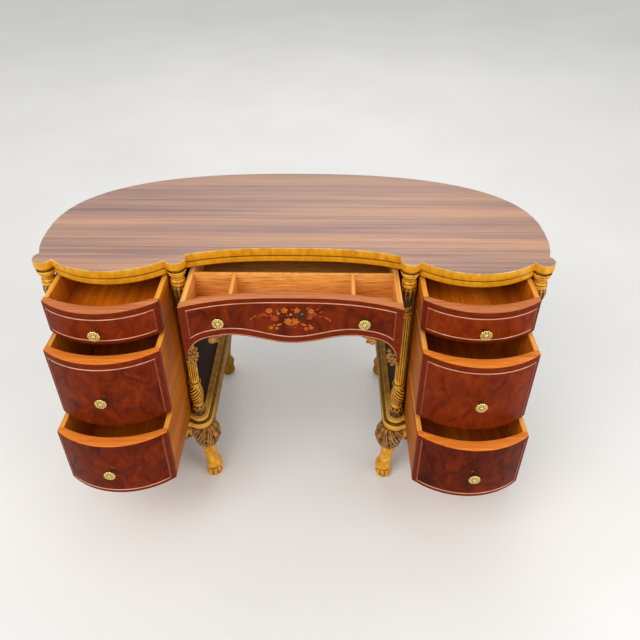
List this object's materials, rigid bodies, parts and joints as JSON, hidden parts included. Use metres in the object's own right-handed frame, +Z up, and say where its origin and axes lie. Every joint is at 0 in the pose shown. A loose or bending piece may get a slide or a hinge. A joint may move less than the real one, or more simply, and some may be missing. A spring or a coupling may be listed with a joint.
{
  "type": "kidney writing desk",
  "caption": "Kidney-shaped twin-pedestal writing desk with sliding drawers, turned columns, moulded bases and paw feet.",
  "frame": {"origin": "on the floor under the middle of the desk's box, with the drawers as they rest", "axes": "+X to the sitter's right, +Y to the back of the desk, +Z up"},
  "size_m": [1.3028, 0.785, 0.762],
  "materials": {
    "veneer": "satin striped rosewood veneer",
    "gilt": "antique gold paint over carved wood",
    "case_wood": "dark brown stained wood",
    "mahogany": "polished figured mahogany with light line inlay",
    "drawer_wood": "varnished oak",
    "brass": "polished"
  },
  "bodies": {
    "desk": {"top_board": "veneer", "bow_rail_left": "gilt", "bow_rail_right": "gilt", "knee_rail": "gilt", "back_rail": "gilt", "column_inner_left": "gilt", "column_inner_right": "gilt", "column_outer_left": "gilt", "column_outer_right": "gilt", "front_stiles": "gilt", "base_moulding_left": "gilt", "base_moulding_right": "gilt", "leg_front_inner_left": "gilt", "leg_front_inner_right": "gilt", "leg_front_outer_left": "gilt", "leg_front_outer_right": "gilt", "leg_rear_inner_left": "gilt", "leg_rear_inner_right": "gilt", "leg_rear_outer_left": "gilt", "leg_rear_outer_right": "gilt", "side_panel_left": "case_wood", "side_panel_right": "case_wood", "curved_panel_left": "case_wood", "curved_panel_right": "case_wood", "back_apron": "case_wood", "runner_frames_left": "drawer_wood", "runner_frames_right": "drawer_wood", "centre_runners": "drawer_wood", "case_bottom_left": "drawer_wood", "case_bottom_right": "drawer_wood"},
    "upper_left_drawer": {"upper_left_front": "mahogany", "upper_left_box": "drawer_wood", "upper_left_bottom": "drawer_wood", "upper_left_knob": "brass"},
    "middle_left_drawer": {"middle_left_front": "mahogany", "middle_left_box": "drawer_wood", "middle_left_bottom": "drawer_wood", "middle_left_knob": "brass"},
    "lower_left_drawer": {"lower_left_front": "mahogany", "lower_left_box": "drawer_wood", "lower_left_bottom": "drawer_wood", "lower_left_knob": "brass"},
    "upper_right_drawer": {"upper_right_front": "mahogany", "upper_right_box": "drawer_wood", "upper_right_bottom": "drawer_wood", "upper_right_knob": "brass"},
    "middle_right_drawer": {"middle_right_front": "mahogany", "middle_right_box": "drawer_wood", "middle_right_bottom": "drawer_wood", "middle_right_knob": "brass"},
    "lower_right_drawer": {"lower_right_front": "mahogany", "lower_right_box": "drawer_wood", "lower_right_bottom": "drawer_wood", "lower_right_knob": "brass"},
    "centre_drawer": {"centre_front": "mahogany", "centre_box": "drawer_wood", "centre_bottom": "drawer_wood", "centre_dividers": "drawer_wood", "centre_knobs": "brass", "centre_carvings": "gilt"}
  },
  "joints": [
    {"name": "upper_left_slide", "type": "slide", "parent": "desk", "child": "upper_left_drawer", "axis": [0, -1, 0], "range_m": [-0.108, 0.142]},
    {"name": "middle_left_slide", "type": "slide", "parent": "desk", "child": "middle_left_drawer", "axis": [0, -1, 0], "range_m": [-0.167, 0.083]},
    {"name": "lower_left_slide", "type": "slide", "parent": "desk", "child": "lower_left_drawer", "axis": [0, -1, 0], "range_m": [-0.226, 0.024]},
    {"name": "upper_right_slide", "type": "slide", "parent": "desk", "child": "upper_right_drawer", "axis": [0, -1, 0], "range_m": [-0.093, 0.157]},
    {"name": "middle_right_slide", "type": "slide", "parent": "desk", "child": "middle_right_drawer", "axis": [0, -1, 0], "range_m": [-0.167, 0.083]},
    {"name": "lower_right_slide", "type": "slide", "parent": "desk", "child": "lower_right_drawer", "axis": [0, -1, 0], "range_m": [-0.226, 0.024]},
    {"name": "centre_slide", "type": "slide", "parent": "desk", "child": "centre_drawer", "axis": [0, -1, 0], "range_m": [-0.15, 0.11]}
  ]
}
